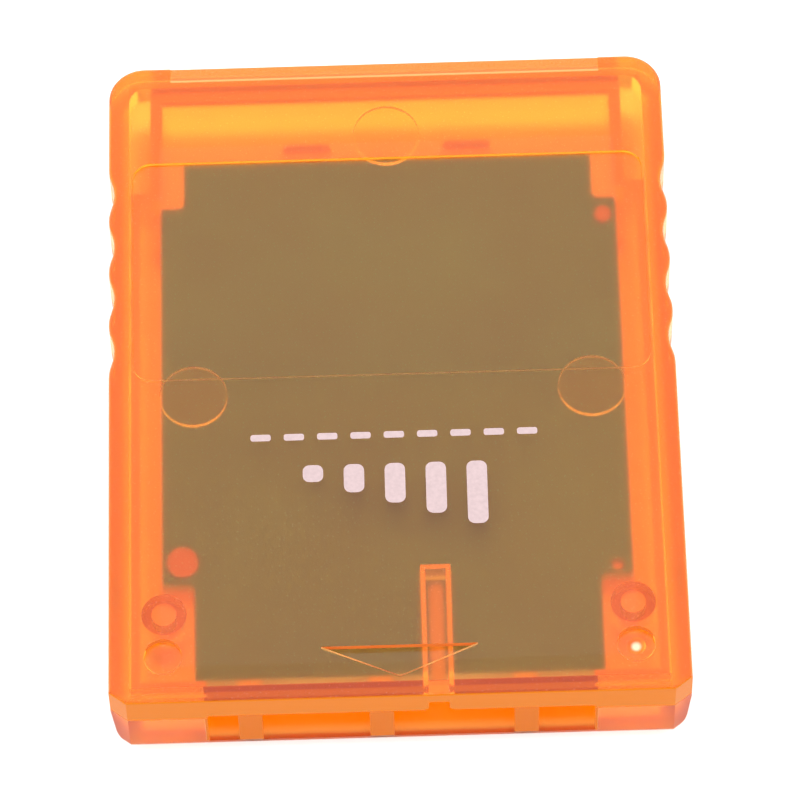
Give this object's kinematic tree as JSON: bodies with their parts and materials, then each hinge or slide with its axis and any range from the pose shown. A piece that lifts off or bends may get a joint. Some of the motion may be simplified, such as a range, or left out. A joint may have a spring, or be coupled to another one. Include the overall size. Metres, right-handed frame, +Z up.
{
  "type": "console memory card",
  "caption": "Flat see-through memory card for a game console: two joined shells round a circuit board, with scalloped grips and a keyed connector mouth.",
  "frame": {"origin": "middle of the underside, on the surface that the card lies on", "axes": "+Z up out of the label face, -Y the way the card goes into the console, +X to the right seen from above with the connector mouth towards the viewer"},
  "size_m": [0.042, 0.054, 0.0078],
  "materials": {
    "shell_plastic": "translucent orange, finely spark-eroded satin",
    "board_laminate": "glass-fibre laminate under green solder mask",
    "gold_plate": "gold-plated copper",
    "chip_epoxy": "matt moulding compound",
    "tinned_metal": "tin-plated",
    "dome_epoxy": "cast epoxy dome",
    "capacitor_ceramic": "tan ceramic with tinned ends",
    "resistor_ceramic": "black glaze with tinned ends",
    "print_ink": "pad-printed white ink"
  },
  "bodies": {
    "root": {"top_shell": "shell_plastic", "bottom_shell": "shell_plastic", "circuit_board": "board_laminate", "flash_chip": "chip_epoxy", "flash_leads": "tinned_metal", "controller_dome": "dome_epoxy", "contact_1": "gold_plate", "contact_2": "gold_plate", "contact_3": "gold_plate", "contact_4": "gold_plate", "contact_5": "gold_plate", "contact_6": "gold_plate", "contact_7": "gold_plate", "contact_8": "gold_plate", "capacitor_1": "capacitor_ceramic", "capacitor_2": "capacitor_ceramic", "capacitor_3": "capacitor_ceramic", "capacitor_4": "capacitor_ceramic", "capacitor_5": "capacitor_ceramic", "resistor_1": "resistor_ceramic", "resistor_2": "resistor_ceramic", "resistor_3": "resistor_ceramic", "resistor_4": "resistor_ceramic"}
  },
  "joints": []
}
